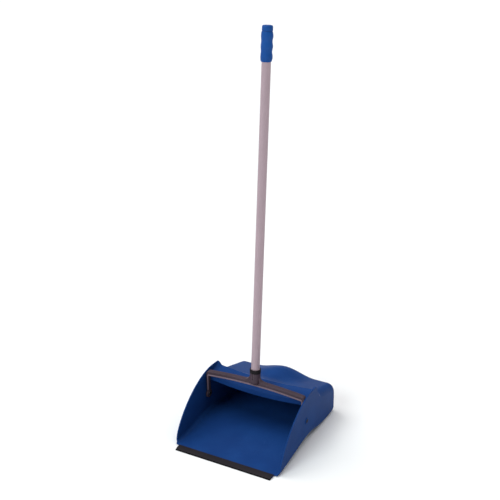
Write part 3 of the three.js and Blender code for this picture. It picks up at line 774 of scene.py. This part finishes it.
# %% Lip holder and rubber blade
BLADE_LENGTH, BLADE_THICKNESS, BLADE_BITE, LIP_SHELL = 7.0, 1.6, 4.5, 1.0
HOLDER_BOTTOM = TONGUE_BOTTOM - CLEARANCE - LIP_SHELL
HOLDER_TOP = TONGUE_TOP + CLEARANCE + LIP_SHELL
SLOT_BACK, SLOT_TOP = BLADE_LENGTH - 1 + CLEARANCE, BLADE_THICKNESS + CLEARANCE
nose = (BLADE_LENGTH - BLADE_BITE, SLOT_TOP + LIP_SHELL * 0.75)
holder_outline = [
    (BLADE_LENGTH - BLADE_BITE, SLOT_TOP), (SLOT_BACK, SLOT_TOP),
    (SLOT_BACK, HOLDER_BOTTOM), (LIP_DEPTH, HOLDER_BOTTOM),
    (LIP_DEPTH, TONGUE_BOTTOM - CLEARANCE), (TONGUE_START - CLEARANCE, TONGUE_BOTTOM - CLEARANCE),
    (TONGUE_START - CLEARANCE, TONGUE_TOP + CLEARANCE), (LIP_DEPTH, TONGUE_TOP + CLEARANCE),
    (LIP_DEPTH, HOLDER_TOP), (TONGUE_START, HOLDER_TOP), nose,
]
holder = along_x("lip_holder_moulding", holder_outline, lip_low.x, lip_high.x, 0.22)
settle(holder, "pan", lip_plastic, "lip_plastic", "lip_holder", crease=35)
blade_outline = [
    (0, BLADE_THICKNESS * 0.3), (0.5, 0), (BLADE_LENGTH - 1, 0), (BLADE_LENGTH - 1, BLADE_THICKNESS),
    (1.2, BLADE_THICKNESS), (0, BLADE_THICKNESS * 0.6),
]
blade = along_x("blade_rubber", blade_outline, blade_low.x, blade_high.x, 0.15, 2)
settle(blade, "pan", edge_rubber, "edge_rubber", "rubber_blade", crease=35)

# %% [markdown]
# ## The yoke
# The yoke is an arched crossbar that turns down into two legs, one along each wall, with a socket for the
# handle in the middle. Its front view is the space between an inner and an outer line. A rounded rectangle
# between them at every step keeps the edges soft round the bends, where a bevel would pinch.

# %% The yoke's lines and its arms
BAR_TOP = 147.0  # top of the crossbar at its middle, where the handle's line starts
BAR_BOTTOM, BAR_HEIGHT, BAR_ARCH = 129.0, 11.0, 7.0
YOKE_CORNER = 10.0
LEG_OUTSIDE = WALL_INSIDE - 1.5
LEG_INSIDE = LEG_OUTSIDE - 5.5
SOCKET_RADIUS, SOCKET_BORE = 13.7, TUBE_RADIUS + CLEARANCE
WEB_REACH, WEB_HEIGHT, WEB_THICKNESS = 22.0, 14.0, 7.0
LEG_STEPS, ARCH_STEPS = 12, 140


def inner_line():
    half = YOKE_CORNER / 2
    leg = [(LEG_INSIDE, PIVOT.z + (BAR_BOTTOM - half - PIVOT.z) * k / LEG_STEPS) for k in range(LEG_STEPS)]
    ends = LEG_INSIDE - half
    bend = quadratic((LEG_INSIDE, BAR_BOTTOM - half), (LEG_INSIDE, BAR_BOTTOM), (ends, BAR_BOTTOM), 10)
    arch = quadratic((ends, BAR_BOTTOM), (0, BAR_BOTTOM + 2 * BAR_ARCH), (-ends, BAR_BOTTOM), ARCH_STEPS, 1)
    return leg + bend + arch[: ARCH_STEPS // 2]


def outer_line():
    top = BAR_BOTTOM + BAR_HEIGHT
    leg = [(LEG_OUTSIDE, PIVOT.z + (top - YOKE_CORNER - PIVOT.z) * k / LEG_STEPS) for k in range(LEG_STEPS)]
    ends = LEG_OUTSIDE - YOKE_CORNER
    bend = quadratic((LEG_OUTSIDE, top - YOKE_CORNER), (LEG_OUTSIDE, top), (ends, top), 10)
    arch = quadratic((ends, top), (0, top + 2 * BAR_ARCH), (-ends, top), ARCH_STEPS, 1)
    return leg + bend + arch[: ARCH_STEPS // 2]


def web_rise(x):
    """How much the web beside the socket adds to the crossbar's top."""
    away = abs(x) - (SOCKET_RADIUS - 1)
    return WEB_HEIGHT * (1 - min(1.0, max(0.0, away) / (WEB_REACH + 1))) ** 3.4


def arm_section(inner, outer, rise):
    """A rounded rectangle from the inner line to the outer one, narrowed where the web stands on the bar."""
    first, last = Vector(inner), Vector(outer)
    across = (last - first).normalized()
    thick, half, soft = (last - first).length, YOKE_DEPTH / 2, 1.7
    corners = [(0, -half), (thick, -half), (thick, half), (0, half)]
    outline = filleted(corners, soft, 5)
    for share in (0.25, 0.5, 0.75):
        outline.append((soft + (thick - 2 * soft) * share, -half))
    ring = sorted(outline, key=lambda p: math.atan2(p[1] / half, 2 * p[0] / thick - 1))
    placed = []
    for s, y in ring:
        up = s / thick
        narrow = 1 - (1 - WEB_THICKNESS / YOKE_DEPTH) * smooth(rise * up / 6)
        point = first + across * s
        placed.append((point.x, PIVOT.y + y * narrow, point.y + rise * smooth(up)))
    return placed


def yoke_arms():
    right = list(zip(inner_line(), outer_line()))
    left = [((-a[0], a[1]), (-b[0], b[1])) for a, b in reversed(right[:-1])]
    points, sections = [], []
    for inner, outer in right + left:
        ring = arm_section(inner, outer, web_rise(outer[0]))
        sections.append(range(len(points), len(points) + len(ring)))
        points += ring
    faces = [list(sections[0]), list(sections[-1])[::-1]]
    for first, second in zip(sections, sections[1:]):
        size = len(first)
        for k in range(size):
            faces.append([first[k], first[(k + 1) % size], second[(k + 1) % size], second[k]])
    return outwards(mesh_object("arms", points, faces))


arms = yoke_arms()
print("arms", len(arms.data.polygons), "faces, legs at x", round(LEG_INSIDE, 1), "to", round(LEG_OUTSIDE, 1))

# %% [markdown]
# The socket is turned, like a lathe piece: a flared foot in the crossbar, a straight barrel, and a thinner
# neck that a collar closes on. A slit down its front lets it grip the tube. A thin box takes the slit out, in
# a boolean cut.

# %% Socket, eyes and the joined yoke
SOCKET_HEIGHT, COLLAR_FOOT, NECK_RADIUS = 33.0, 23.0, 12.5
SLIT_WIDTH, SLIT_FOOT = 2.2, 8.0
SCREW_AT, SCREW_RADIUS, SCREW_HEAD, SCREW_LENGTH = 17.5, 2.0, 4.0, 11.0
STEP = COLLAR_FOOT - CLEARANCE  # where the barrel steps down to the neck
EYE_RADIUS, EYE_PROUD = 11.0, 0.25
HANDLE = Matrix.Translation((0, PIVOT.y, BAR_TOP)) @ Matrix.Rotation(-RAKE, 4, "X")


def cutter(name, low, high, place):
    corners = [(x, y, z) for x in (low[0], high[0]) for y in (low[1], high[1]) for z in (low[2], high[2])]
    sides = [[0, 1, 3, 2], [4, 6, 7, 5], [0, 4, 5, 1], [2, 3, 7, 6], [0, 2, 6, 4], [1, 5, 7, 3]]
    return outwards(mesh_object(name, [place @ Vector(c) for c in corners], sides))


socket_foot = [(0, -8.5)] + quadratic((5.0, -8.5), (12.4, -8.3), (14.4, -2.0), 10)
socket_foot += quadratic((14.4, -2.0), (SOCKET_RADIUS, 2.0), (SOCKET_RADIUS, 8.0), 8, first=1)
socket_profile = socket_foot + [
    (SOCKET_RADIUS, STEP - 0.5), (SOCKET_RADIUS - 0.15, STEP - 0.15), (SOCKET_RADIUS - 0.5, STEP),
    (NECK_RADIUS, STEP), (NECK_RADIUS, SOCKET_HEIGHT - 0.3), (NECK_RADIUS - 0.3, SOCKET_HEIGHT),
    (SOCKET_BORE + 0.3, SOCKET_HEIGHT), (SOCKET_BORE, SOCKET_HEIGHT - 0.3), (SOCKET_BORE, 0), (0, 0),
]
socket = outwards(turned("socket", socket_profile, HANDLE, 96))
slit = cutter("slit", (-SLIT_WIDTH / 2, -30, SLIT_FOOT), (SLIT_WIDTH / 2, 0, 60), HANDLE)
SCREW = HANDLE @ Matrix.Translation((0, 0, SCREW_AT)) @ Matrix.Rotation(-math.pi / 2, 4, "X")
screw_hole = SCREW_RADIUS + CLEARANCE
hole = outwards(turned("hole", [(0, 0), (screw_hole, 0), (screw_hole, 20), (0, 20)], SCREW, 24))
cut_away(socket, slit, hole)
eye_hole, eye_in, eye_out = PIN_DIAMETER / 2 + CLEARANCE, LEG_INSIDE - EYE_PROUD, LEG_OUTSIDE + EYE_PROUD
eye_profile = [(eye_hole, eye_in), (EYE_RADIUS, eye_in), (EYE_RADIUS, eye_out), (eye_hole, eye_out)]
eye_profile = filleted(eye_profile, 1.1, 4)
eyes = [outwards(turned(f"eye_{side}", eye_profile, on_pivot(side, 0), 56, closed=True)) for side in (1, -1)]
yoke = joined("yoke_moulding", arms, socket, *eyes)
settle(yoke, "handle", yoke_plastic, "yoke_plastic", "yoke", crease=38)

# %% [markdown]
# ## A bead that follows a path
# A rolled bead stiffens the yoke. It runs along the crossbar's lower front edge, round each bend and down the
# inside of each leg. That is a job for Geometry Nodes: a line of points becomes a curve, and a small circle
# is swept along it. Named inputs keep the bead's size adjustable, and each is set by its identifier. Its grey
# is paler than the yoke's, a painted highlight, so that its round front reads as a light line.


# %% A helper for geometry trees
def geometry_tree(name, **sizes):
    group = bpy.data.node_groups.new(name, "GeometryNodeTree")
    group.interface.new_socket("Geometry", in_out="OUTPUT", socket_type="NodeSocketGeometry")
    group.interface.new_socket("Geometry", in_out="INPUT", socket_type="NodeSocketGeometry")
    identifiers = {}
    for label, value in sizes.items():
        kind = "NodeSocketInt" if isinstance(value, int) else "NodeSocketFloat"
        socket = group.interface.new_socket(label.replace("_", " "), in_out="INPUT", socket_type=kind)
        socket.default_value = value
        identifiers[socket.identifier] = value
    tree = Tree(group)
    source = group.nodes.new("NodeGroupInput")
    inputs = [Socket(tree, output) for output in source.outputs[: len(sizes) + 1]]
    return group, tree, inputs, identifiers


def finish_tree(group, tree, geometry, material):
    whole = tree.node("GeometryNodeRealizeInstances", None, [geometry])
    painted = tree.node("GeometryNodeSetMaterial", None, {"Geometry": whole, "Material": material})
    end = group.nodes.new("NodeGroupOutput")
    group.links.new(painted.link, end.inputs[0])


def grown(obj, group, identifiers):
    """The object after its geometry tree, as a plain mesh."""
    modifier = obj.modifiers.new(group.name, "NODES")
    modifier.node_group = group
    for identifier, value in identifiers.items():
        modifier[identifier] = value
    return baked(obj)


# %% The bead's tree and its line
bead_group, tree, (line, radius, sides), bead_sizes = geometry_tree(
    "bead_along_line", Radius=2.1 * MM, Sides=16)
curve = tree.node("GeometryNodeMeshToCurve", None, [line])
circle = tree.node(
    "GeometryNodeCurvePrimitiveCircle", {"mode": "RADIUS"}, {"Resolution": sides, "Radius": radius})
sweep = tree.node(
    "GeometryNodeCurveToMesh", None, {"Curve": curve, "Profile Curve": circle, "Fill Caps": True})
# The bead's material is a painted highlight, paler than the yoke's own grey.
finish_tree(bead_group, tree, sweep, bead_highlight_plastic)
YOKE_FRONT = PIVOT.y - YOKE_DEPTH / 2
EYE_CLEAR = 12.5
right_line = [(x + 0.6, YOKE_FRONT - 0.5, z + 1.2) for x, z in inner_line() if z > PIVOT.z + EYE_CLEAR]
bead_line = right_line + [(-x, y, z) for x, y, z in reversed(right_line[:-1])]
bead = bpy.data.meshes.new("bead_line")
bead.from_pydata([Vector(p) * MM for p in bead_line], [(k, k + 1) for k in range(len(bead_line) - 1)], [])
bead = bpy.data.objects.new("yoke_bead", bead)
bpy.context.scene.collection.objects.link(bead)
settle(outwards(grown(bead, bead_group, bead_sizes)), "handle", bead_highlight_plastic, "yoke_plastic")

# %% [markdown]
# ## Collar, pins, clips and screw
# The collar is a plain ring with softened edges. Each pin has a low domed head outside the wall and is held
# inside the leg by a push-on clip. The clip's prongs repeat round a circle, so a tree makes one prong and
# instances it on the points of that circle.

# %% Collar and pins
COLLAR_WALL, CLIP_THICKNESS, PIN_END, PIN_HEAD_HEIGHT = 1.4, 1.4, 1.2, 2.0
collar_inner = NECK_RADIUS + CLEARANCE
collar_outer = collar_inner + COLLAR_WALL
collar_profile = [(collar_inner, COLLAR_FOOT), (collar_outer, COLLAR_FOOT)]
collar_profile += [(collar_outer, SOCKET_HEIGHT), (collar_inner, SOCKET_HEIGHT)]
collar_profile = filleted(collar_profile, 0.6, 4)
collar = outwards(turned("collar_ring", collar_profile, HANDLE, 96, closed=True))
settle(collar, "handle", pin_plastic, "yoke_plastic", "socket_collar", crease=50)


def dome(radius, foot, rise, fullness, step):
    """A dome's profile, rim first. A smaller fullness gives a flatter top."""
    angles = [math.radians(a) for a in range(0, 90, step)]
    return [(radius * math.cos(angle) ** fullness, foot + rise * math.sin(angle)) for angle in angles]


def pin(side, name):
    low = WALL_OUTSIDE + CLEARANCE
    tail = LEG_INSIDE - CLEARANCE - CLIP_THICKNESS - PIN_END
    shank, head = PIN_DIAMETER / 2, PIN_HEAD / 2
    profile = [(0, tail), (shank - 0.5, tail), (shank, tail + 0.5), (shank, low)]
    profile += [(head - 0.3, low), (head, low + 0.3)]
    profile += dome(head, low + 1.1, PIN_HEAD_HEIGHT - 1.1, 0.5, 9) + [(0, low + PIN_HEAD_HEIGHT)]
    obj = outwards(turned(f"pin_{name}", profile, on_pivot(side, 0), 48))
    return settle(obj, "handle", pin_plastic, "yoke_plastic", f"pivot_pin_{name}", crease=50)


for pin_side, pin_name in ((-1, "left"), (1, "right")):
    pin(pin_side, pin_name)

# %% Push-on clips
clip_group, tree, (ring, count, reach, size), clip_sizes = geometry_tree(
    "prongs_round_ring", Prongs=8, Reach=4.6 * MM, Prong=2.2 * MM)
circle = tree.node("GeometryNodeMeshCircle", None, {"Vertices": count, "Radius": reach})
tall = tree.node("ShaderNodeCombineXYZ", None, [size, size * 0.7, size * 0.28])
prong = tree.node("GeometryNodeMeshCube", None, {"Size": tall})
spot = tree.node("GeometryNodeInputPosition")
turn = tree.node("FunctionNodeAlignRotationToVector", {"axis": "X"}, {"Vector": spot})
spread = tree.node(
    "GeometryNodeInstanceOnPoints", None, {"Points": circle, "Instance": prong, "Rotation": turn})
both = tree.node("GeometryNodeJoinGeometry", None, [spread])
tree.links.new(ring.link, both.link.node.inputs[0])
# The clips get the dark steel, which is painted shade for the legs' feet.
finish_tree(clip_group, tree, both, clip_shade_steel)


def clip(side, name):
    profile = filleted([(4.4, 0), (6.5, 0), (6.5, 0.7), (5.9, CLIP_THICKNESS), (4.4, 1.1)], 0.2, 2)
    obj = outwards(turned(f"clip_{name}", profile, Matrix.Identity(4), 48, closed=True))
    grown(obj, clip_group, clip_sizes)
    inward = Matrix.Translation(Vector((side * (LEG_INSIDE - CLEARANCE), PIVOT.y, PIVOT.z)) * MM)
    obj.data.transform(inward @ Matrix.Rotation(-math.pi / 2 * side, 4, "Y"))
    return settle(outwards(obj), "handle", clip_shade_steel, "zinc_steel", f"pivot_clip_{name}")


for clip_side, clip_name in ((-1, "left"), (1, "right")):
    clip(clip_side, clip_name)

# %% [markdown]
# One pan-head screw goes through the back of the socket into the plug inside the tube. A cross is cut out of
# its turned head.

# %% Screw
SLOT_HALF_WIDTH, SLOT_HALF_LENGTH = 0.45, 2.3
seat = SOCKET_RADIUS + CLEARANCE
tip = seat - SCREW_LENGTH
screw_profile = [(0, tip), (1.2, tip), (SCREW_RADIUS, tip + 1.5), (SCREW_RADIUS, seat)]
screw_profile += [(SCREW_HEAD - 0.3, seat), (SCREW_HEAD, seat + 0.3)]
screw_profile += dome(SCREW_HEAD, seat + 0.9, 1.5, 0.6, 10) + [(0, seat + 2.4)]
screw = outwards(turned("pan_head_screw", screw_profile, SCREW, 48))
slots = []
for a, b in ((SLOT_HALF_WIDTH, SLOT_HALF_LENGTH), (SLOT_HALF_LENGTH, SLOT_HALF_WIDTH)):
    slots.append(cutter("slot", (-a, -b, seat + 1.0), (a, b, seat + 4), SCREW))
cut_away(screw, *slots)
settle(screw, "handle", zinc_steel, "zinc_steel", "tube_screw", crease=35)

# %% [markdown]
# ## The handle
# The tube is a ring profile, turned in many segments so that its highlight stays a clean line. The grip is
# the piece with a rule: three finger waves run round it, deepest where the fingers close and about half as
# deep behind. A tree moves each point of a plain sleeve by that rule, and the sleeve is then leaned on to the
# handle's line.

# %% Tube
TUBE_WALL, TUBE_START, TUBE_LENGTH = 1.2, 0.3, 870.0
TUBE_END = TUBE_START + TUBE_LENGTH
tube_inner = TUBE_RADIUS - TUBE_WALL
tube_profile = [(tube_inner, TUBE_START), (TUBE_RADIUS, TUBE_START)]
tube_profile += [(TUBE_RADIUS, TUBE_START + TUBE_LENGTH * k / 40) for k in range(1, 41)]
tube_profile += [(tube_inner, TUBE_END)]
tube = outwards(turned("aluminium_tube", tube_profile, HANDLE, 128, closed=True))
settle(tube, "handle", tube_aluminium, "tube_aluminium", "handle_tube")
nodes["tube_plug"].material_slots[0].material = yoke_plastic

# %% The grip's rule as a tree
GRIP_LENGTH, GRIP_BORE, GRIP_RADIUS = 69.0, TUBE_RADIUS + CLEARANCE, 14.2
GRIP_FOOT = TUBE_END - GRIP_LENGTH
grip_group, tree, grip_inputs, grip_sizes = geometry_tree(
    "finger_waves", Length=GRIP_LENGTH * MM, Waves=3.0, Depth=1.55 * MM,
    Facing=math.radians(20.0), Skin=12.0 * MM)
sleeve, length, waves, depth, facing, skin = grip_inputs
x, y, z = tree.parts(tree.node("GeometryNodeInputPosition"))
around = (x * x + y * y).root()
share = (x * facing.cosine() + y * facing.sine()) / around
side = (share * 0.5 + 0.5).ramp(0.25, 0.9) * 0.45 + 0.55
hollow = (z / length * waves * (2 * math.pi)).cosine() * 0.5 + 0.5
push = hollow * side * depth * around.above(skin)
scale = (around - push) / around
moved = tree.node("ShaderNodeCombineXYZ", None, [x * scale, y * scale, z])
shaped = tree.node("GeometryNodeSetPosition", None, {"Geometry": sleeve, "Position": moved})
finish_tree(grip_group, tree, shaped, grip_plastic)


def grip():
    foot = quadratic((12.4, 0.0), (13.6, 0.2), (GRIP_RADIUS, 3.0), 6)
    head = quadratic((GRIP_RADIUS, GRIP_LENGTH - 4.2), (14.0, GRIP_LENGTH - 0.6), (12.7, GRIP_LENGTH), 8)
    middle = [(GRIP_RADIUS, 3.0 + (GRIP_LENGTH - 7.2) * k / 70) for k in range(1, 70)]
    profile = [(GRIP_BORE, 0.0)] + foot + middle + head + [(GRIP_BORE, GRIP_LENGTH)]
    obj = outwards(turned("grip_moulding", profile, Matrix.Identity(4), 96, closed=True))
    grown(obj, grip_group, grip_sizes)
    lean = HANDLE.copy()
    lean.translation *= MM
    obj.data.transform(lean @ Matrix.Translation((0, 0, GRIP_FOOT * MM)))
    return settle(obj, "handle", grip_plastic, "grip_plastic", "grip_sleeve")


grip()

# %% [markdown]
# A cap closes the tube. Its stem pushes into the bore and its rounded head covers the cut end.

# %% End cap
CAP_RADIUS, CAP_HEIGHT, STEM_LENGTH = 12.8, 12.5, 18.0
cap_foot = TUBE_END + CLEARANCE
cap_top, stem_end = cap_foot + CAP_HEIGHT, TUBE_END - STEM_LENGTH
stem, flat = tube_inner - CLEARANCE, CAP_RADIUS - 0.5
cap_profile = [(0, stem_end), (stem - 0.3, stem_end), (stem, stem_end + 0.4), (stem, cap_foot)]
cap_profile += quadratic((flat, cap_foot), (CAP_RADIUS, cap_foot + 0.1), (CAP_RADIUS, cap_foot + 0.8), 4)
cap_profile += quadratic((CAP_RADIUS, cap_top - 4.6), (12.6, cap_top - 0.3), (8.2, cap_top - 0.15), 10)
cap_profile += [(4, cap_top - 0.05), (0, cap_top)]
cap = outwards(turned("end_cap", cap_profile, HANDLE, 96))
settle(cap, "handle", grip_plastic, "grip_plastic", "grip_end_cap")

# %% [markdown]
# ## Floor and light
# The pan stands on a plain pale floor. Three soft suns keep its shadows gentle: one nearly overhead, one from
# the left, and a lower one from the front that is a little cool. The sky is white at the horizon, so that the
# floor shows no far edge, and dim above.

# %% Floor
FLOOR_REACH = 60000.0
floor_corners = [(x * FLOOR_REACH, y * FLOOR_REACH, 0) for x, y in ((-1, -1), (1, -1), (1, 1), (-1, 1))]
floor_mesh = mesh_object("floor", floor_corners, [[0, 1, 2, 3]])
floor_finish = Finish("pale_floor", {"Roughness": 0.9, "Specular IOR Level": 0.1})
speckle = floor_finish.noise(3.0, 2.0)
floor_finish.vary(Base_Color=floor_finish.tree.mix(speckle, rgb(0.89, 0.89, 0.89), rgb(0.91, 0.91, 0.91)))
floor_mesh.data.materials.append(floor_finish.material)

# %% Suns and sky
world = bpy.data.worlds.new("soft_sky")
world.use_nodes = True
sky_tree = Tree(world.node_tree)
direction = sky_tree.node("ShaderNodeTexCoord")
height = sky_tree.parts(direction)[2]
brightness = height.ramp(0.02, 0.16, 1.0, 0.2)
background = world.node_tree.nodes["Background"]
background.inputs["Color"].default_value = rgb(1.0, 1.0, 1.0)
world.node_tree.links.new(brightness.link, background.inputs["Strength"])
bpy.context.scene.world = world
# Without a film curve, which would grey the white floor.
bpy.context.scene.view_settings.view_transform = "Standard"


def sun(name, lean, turn, spread, strength, colour=(1, 1, 1)):
    """A sun that stands `lean` degrees off the zenith, towards `turn` degrees round from the front."""
    data = bpy.data.lights.new(name, "SUN")
    data.angle, data.energy, data.color = math.radians(spread), strength, colour
    obj = bpy.data.objects.new(name, data)
    obj.rotation_euler = (math.radians(lean), 0, math.radians(turn))
    bpy.context.scene.collection.objects.link(obj)


sun("key", 44, -98, 45, 1.1)
sun("top", 14, 165, 80, 1.6)
sun("front", 54, -18, 30, 1.45, (0.90, 1.0, 1.03))
print("suns and sky ready")

# %% [markdown]
# ## Finish
# The scene is brought up to date.

# %% Bring the scene up to date
bpy.context.view_layer.update()
